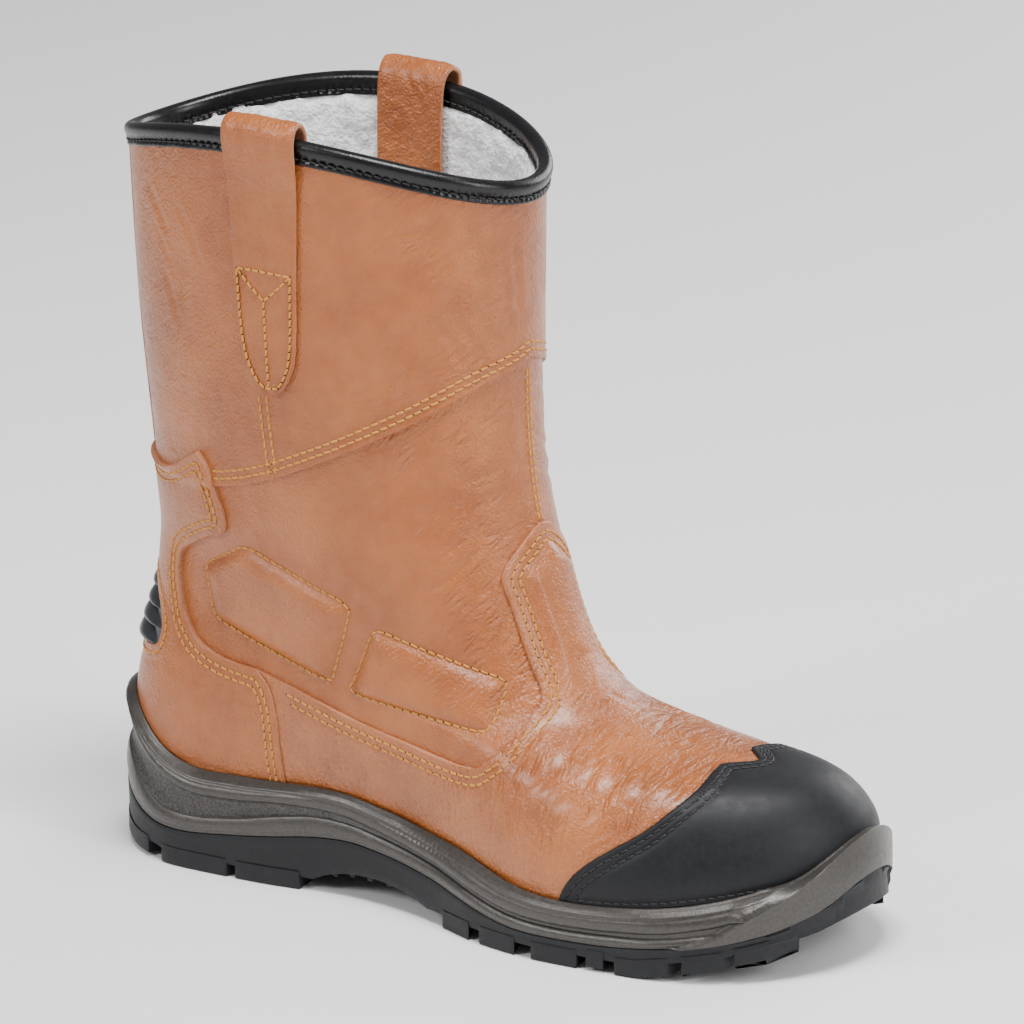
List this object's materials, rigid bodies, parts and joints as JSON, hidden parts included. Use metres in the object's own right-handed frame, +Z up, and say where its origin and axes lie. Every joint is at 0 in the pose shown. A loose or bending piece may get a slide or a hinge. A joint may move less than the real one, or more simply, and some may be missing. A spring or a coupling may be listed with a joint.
{
  "type": "rigger boot",
  "caption": "Pull-on rigger boot for the right foot, with a tall leather shaft, pull loops, a black scuff cap at the toe and a lugged rubber sole.",
  "frame": {"origin": "middle of the boot's bounding box at the floor it stands on", "axes": "+X towards the toe, +Y towards the inner (medial) side, +Z up"},
  "size_m": [0.3108, 0.117, 0.2978],
  "materials": {
    "upper_leather": "smooth tan grain leather with a soft gloss",
    "panel_leather": "smooth tan grain leather, creased over the forefoot",
    "cap_black": "matt black coated leather",
    "binding_black": "glossy black rolled binding",
    "lining_white": "off-white fleece pile",
    "sole_grey": "dark grey moulded polyurethane with a slight sheen",
    "rubber_black": "matt black rubber"
  },
  "bodies": {
    "root": {"upper": "upper_leather", "vamp": "panel_leather", "counter": "panel_leather", "toe_cap": "cap_black", "back_strip": "panel_leather", "ankle_pad_rear_lateral": "upper_leather", "ankle_pad_front_lateral": "upper_leather", "ankle_pad_rear_medial": "upper_leather", "ankle_pad_front_medial": "upper_leather", "heel_ribs": "rubber_black", "collar_binding": "binding_black", "pull_loop_lateral": "panel_leather", "pull_loop_medial": "panel_leather", "insole": "lining_white", "midsole": "sole_grey", "outsole": "rubber_black"}
  },
  "joints": []
}
